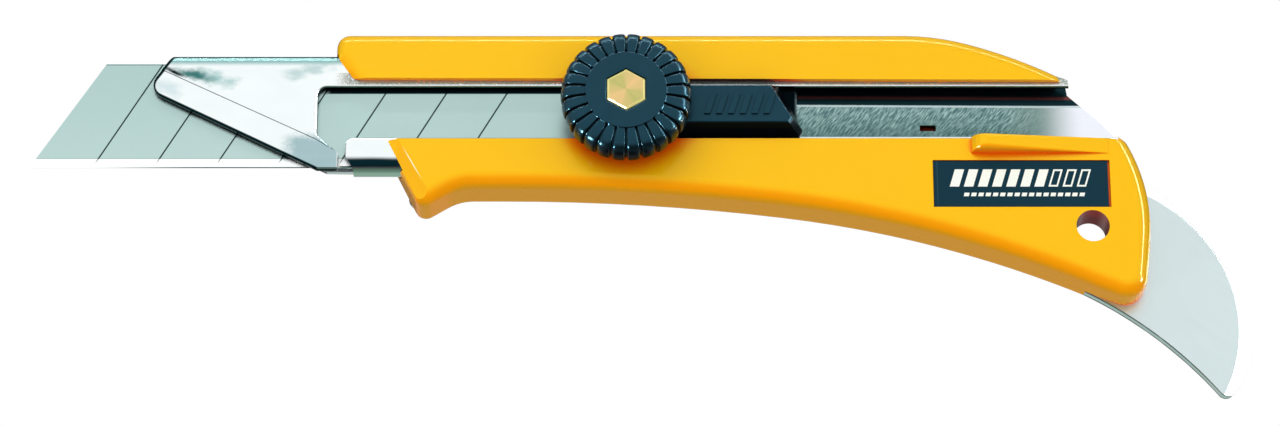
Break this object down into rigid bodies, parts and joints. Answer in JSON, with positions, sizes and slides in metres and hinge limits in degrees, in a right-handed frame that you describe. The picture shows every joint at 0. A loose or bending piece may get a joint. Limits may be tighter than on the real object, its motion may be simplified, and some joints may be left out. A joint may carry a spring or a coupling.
{
  "type": "snap-off knife",
  "caption": "Snap-off knife with a segmented blade in a folded steel channel, a thumb-wheel lock, a long moulded grip and a flat steel pick at the tail.",
  "frame": {"origin": "on the hanging hole's axis, in the blade's middle plane", "axes": "+X along the knife from the blade to the tail, -Y out of the front face with the wheel, +Z from the grip to the upper rail"},
  "size_m": [0.1953, 0.0175, 0.0599],
  "materials": {
    "yellow_plastic": "moulded, satin gloss",
    "black_plastic": "moulded, fine satin",
    "label": "smooth printed plate",
    "channel_steel": "bright rolled stainless sheet with fine scratches",
    "blade_steel": "fine ground, oiled",
    "pick_steel": "satin ground, bright bevel",
    "fastener_steel": "zinc plated",
    "brass": "faced in a lathe"
  },
  "bodies": {
    "handle": {"front_grip": "yellow_plastic", "back_cover": "yellow_plastic", "tail_pick": "pick_steel", "label_plate": "label", "pick_pins": "fastener_steel", "cover_screws": "fastener_steel", "blade_channel": "channel_steel"},
    "carriage": {"slider_block": "black_plastic", "carrier_plate": "channel_steel", "carrier_stud": "fastener_steel", "snap_blade": "blade_steel"},
    "washer": {"thrust_washer": "fastener_steel"},
    "wheel": {"lock_wheel": "black_plastic", "wheel_nut": "brass"}
  },
  "joints": [
    {"name": "blade_slide", "type": "slide", "parent": "handle", "child": "carriage", "axis": [-1, 0, 0], "range_m": [-0.0484, 0.04]},
    {"name": "wheel_lift", "type": "slide", "parent": "carriage", "child": "washer", "axis": [0, -1, 0], "range_m": [0, 0.00075]},
    {"name": "wheel_turn", "type": "hinge", "parent": "washer", "child": "wheel", "pos_m": [-0.0742, 0, 0.02], "axis": [0, -1, 0], "range_deg": [0, 360]}
  ],
  "couplings": [
    {"joint": "wheel_lift", "follows": "wheel_turn", "m_per_rad": 0.00011141}
  ]
}
